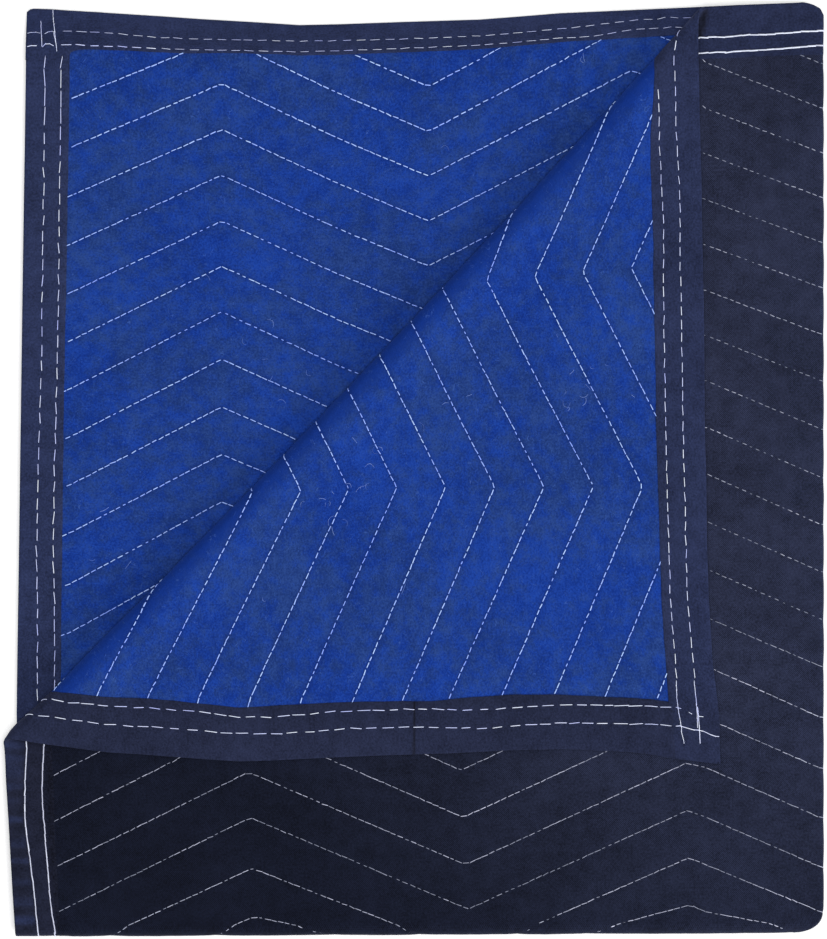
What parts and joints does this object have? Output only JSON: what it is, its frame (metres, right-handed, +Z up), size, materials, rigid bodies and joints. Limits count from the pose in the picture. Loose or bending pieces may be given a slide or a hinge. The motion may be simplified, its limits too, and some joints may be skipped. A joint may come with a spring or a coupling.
{
  "type": "quilted moving blanket folded in quarters",
  "caption": "Padded moving blanket folded in quarters with one corner turned down, showing its blue felt-like face, dark woven back, chevron quilting and navy bound edges.",
  "frame": {"origin": "middle of the folded stack's bounding box, on the surface it lies on", "axes": "+Z up from the surface, +Y along the folded length towards the open end edges, +X across towards the side fold"},
  "size_m": [0.9101, 1.0368, 0.036],
  "materials": {
    "felt_blue": "matte non-woven felt, blue",
    "weave_dark": "matte woven, near-black navy",
    "tape_navy": "plain woven tape, navy"
  },
  "bodies": {
    "root": {"blue_face_panel": "felt_blue", "dark_back_panel": "weave_dark", "binding_end_upper": "tape_navy", "binding_end_lower": "tape_navy", "binding_side_outer": "tape_navy", "binding_side_inner": "tape_navy"}
  },
  "joints": []
}
